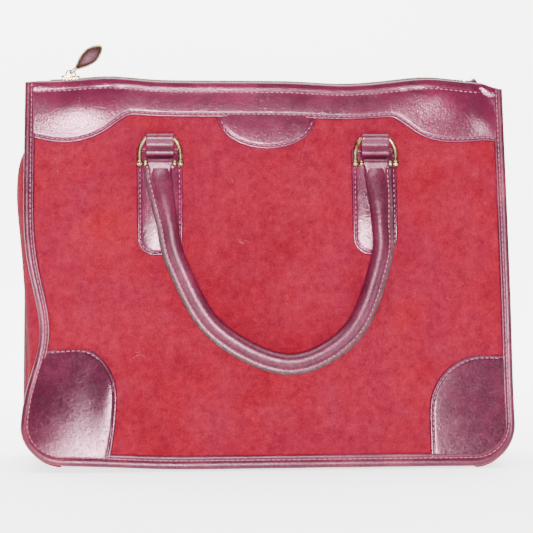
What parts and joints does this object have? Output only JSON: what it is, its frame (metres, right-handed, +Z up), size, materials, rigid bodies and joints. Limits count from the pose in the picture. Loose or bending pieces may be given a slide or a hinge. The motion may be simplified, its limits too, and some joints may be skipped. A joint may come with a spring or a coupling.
{
  "type": "doctor bag",
  "caption": "Zip-top travel bag with leaning suede sides, leather yokes, corner patches and edge binding, rolled handles on swinging rings and a zip with a leaf pull.",
  "frame": {"origin": "on the ground under the middle of the base", "axes": "+X to the bag's right seen from the front, +Y from front to back, +Z up"},
  "size_m": [0.3392, 0.1092, 0.2839],
  "materials": {
    "suede": "napped red suede, matt, mottled",
    "leather": "smooth plum leather, glossy",
    "lining": "plain woven lining",
    "board": "matt stiffener board",
    "cord": "cotton rope core",
    "tape": "woven zip tape",
    "brass": "antique brass, softly polished"
  },
  "bodies": {
    "bag_base": {"base_panel": "suede", "base_board": "board", "base_lining": "lining", "left_gusset": "suede", "right_gusset": "suede", "left_gusset_trim": "leather", "right_gusset_trim": "leather"},
    "front_side": {"front_panel": "suede", "front_lining": "lining", "front_yoke": "leather", "front_scallop": "leather", "front_corner_left": "leather", "front_corner_right": "leather", "front_binding": "leather", "front_tab_left": "leather", "front_tab_right": "leather", "front_chape_left": "leather", "front_chape_right": "leather", "front_zip_tape": "tape", "front_zip_teeth": "brass", "front_zip_stop": "brass"},
    "front_left_ring": {"front_ring_left": "brass", "front_ring_pin_left": "brass"},
    "front_right_ring": {"front_ring_right": "brass", "front_ring_pin_right": "brass"},
    "front_handle": {"front_handle_grip": "leather", "front_handle_core": "cord", "front_handle_loop_left": "leather", "front_handle_loop_right": "leather"},
    "back_side": {"back_panel": "suede", "back_lining": "lining", "back_yoke": "leather", "back_scallop": "leather", "back_corner_left": "leather", "back_corner_right": "leather", "back_binding": "leather", "back_tab_left": "leather", "back_tab_right": "leather", "back_chape_left": "leather", "back_chape_right": "leather", "back_zip_tape": "tape", "back_zip_teeth": "brass", "back_zip_stop": "brass", "inner_pocket": "lining"},
    "back_left_ring": {"back_ring_left": "brass", "back_ring_pin_left": "brass"},
    "back_right_ring": {"back_ring_right": "brass", "back_ring_pin_right": "brass"},
    "back_handle": {"back_handle_grip": "leather", "back_handle_core": "cord", "back_handle_loop_left": "leather", "back_handle_loop_right": "leather"},
    "slider": {"zip_slider": "brass", "zip_bridge": "brass"},
    "link": {"zip_pull_link": "brass"},
    "pull": {"zip_pull": "brass", "zip_pull_inlay": "leather"}
  },
  "joints": [
    {"name": "mouth_opening", "type": "hinge", "parent": "bag_base", "child": "front_side", "pos_m": [0, -0.045, 0.003], "axis": [1, 0, 0], "range_deg": [0, 8]},
    {"name": "back_opening", "type": "hinge", "parent": "bag_base", "child": "back_side", "pos_m": [0, 0.045, 0.003], "axis": [-1, 0, 0], "range_deg": [0, 8]},
    {"name": "zip_run", "type": "slide", "parent": "bag_base", "child": "slider", "axis": [1, 0, 0], "range_m": [0, 0.262]},
    {"name": "link_swing", "type": "hinge", "parent": "slider", "child": "link", "pos_m": [-0.132, 0, 0.2656], "axis": [0, 1, 0], "range_deg": [-90, 15]},
    {"name": "pull_swing", "type": "hinge", "parent": "link", "child": "pull", "pos_m": [-0.12785, 0, 0.26921], "axis": [0, 1, 0], "range_deg": [-25, 20]},
    {"name": "front_left_ring_swing", "type": "hinge", "parent": "front_side", "child": "front_left_ring", "pos_m": [-0.0726, -0.02495, 0.22125], "axis": [-1, 0, 0], "range_deg": [0, 125]},
    {"name": "front_right_ring_swing", "type": "hinge", "parent": "front_side", "child": "front_right_ring", "pos_m": [0.0726, -0.02495, 0.22125], "axis": [-1, 0, 0], "range_deg": [0, 125]},
    {"name": "front_handle_swing", "type": "hinge", "parent": "front_left_ring", "child": "front_handle", "pos_m": [-0.0726, -0.0274, 0.20435], "axis": [-1, 0, 0], "range_deg": [0, 47]},
    {"name": "back_left_ring_swing", "type": "hinge", "parent": "back_side", "child": "back_left_ring", "pos_m": [-0.0726, 0.02495, 0.22125], "axis": [1, 0, 0], "range_deg": [0, 125]},
    {"name": "back_right_ring_swing", "type": "hinge", "parent": "back_side", "child": "back_right_ring", "pos_m": [0.0726, 0.02495, 0.22125], "axis": [1, 0, 0], "range_deg": [0, 125]},
    {"name": "back_handle_swing", "type": "hinge", "parent": "back_left_ring", "child": "back_handle", "pos_m": [-0.0726, 0.0274, 0.20435], "axis": [1, 0, 0], "range_deg": [0, 47]}
  ],
  "couplings": [
    {"joint": "back_opening", "follows": "mouth_opening", "ratio": 1},
    {"joint": "zip_run", "follows": "mouth_opening", "m_per_rad": 1.876},
    {"joint": "front_right_ring_swing", "follows": "front_left_ring_swing", "ratio": 1},
    {"joint": "back_right_ring_swing", "follows": "back_left_ring_swing", "ratio": 1}
  ]
}
